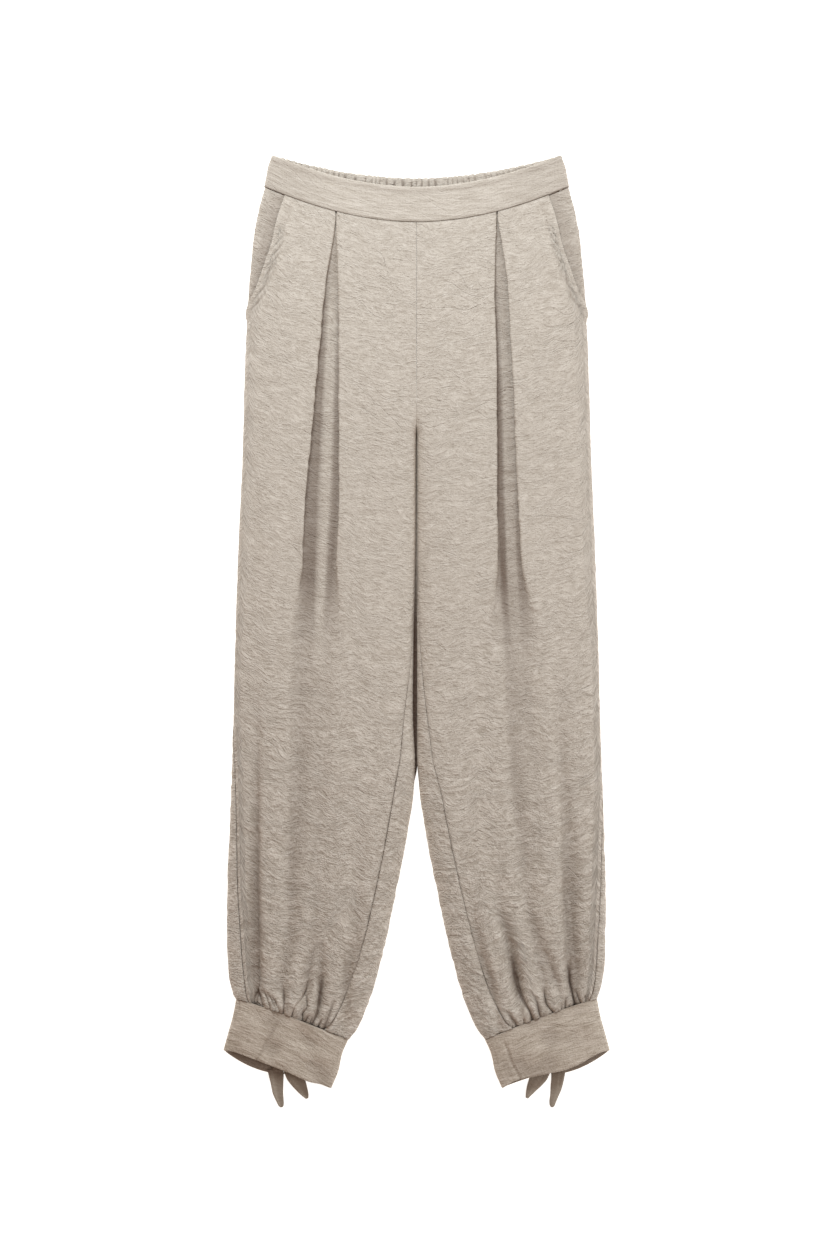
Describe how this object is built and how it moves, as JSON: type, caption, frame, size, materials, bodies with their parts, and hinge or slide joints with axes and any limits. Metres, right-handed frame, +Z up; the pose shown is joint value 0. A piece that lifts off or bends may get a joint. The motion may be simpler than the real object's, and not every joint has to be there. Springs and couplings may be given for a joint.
{
  "type": "trousers",
  "caption": "Wide-leg trousers laid flat, with a gathered elastic back waist, box pleats, slant pockets and tied cuffs.",
  "frame": {"origin": "under the middle of the laid-out garment, on the surface that it lies on", "axes": "+Y from the cuffs toward the waist, +X toward the viewer's right when the front faces up, +Z up off the surface"},
  "size_m": [0.4454, 1.097, 0.0204],
  "materials": {
    "waistband_cloth": "matt crinkled crepe, double layer",
    "leg_cloth": "matt crinkled crepe",
    "cuff_cloth": "matt crinkled crepe, stiffened",
    "tie_cloth": "matt crinkled crepe, folded double"
  },
  "bodies": {
    "root": {"waistband_front": "waistband_cloth", "waistband_back": "waistband_cloth", "front_leg_left": "leg_cloth", "front_leg_right": "leg_cloth", "back_leg_left": "leg_cloth", "back_leg_right": "leg_cloth", "pocket_facing_left": "leg_cloth", "pocket_facing_right": "leg_cloth", "cuff_left": "cuff_cloth", "cuff_right": "cuff_cloth", "tie_knot_left": "tie_cloth", "tie_knot_right": "tie_cloth", "tie_left_long": "tie_cloth", "tie_left_short": "tie_cloth", "tie_right_long": "tie_cloth", "tie_right_short": "tie_cloth"}
  },
  "joints": []
}
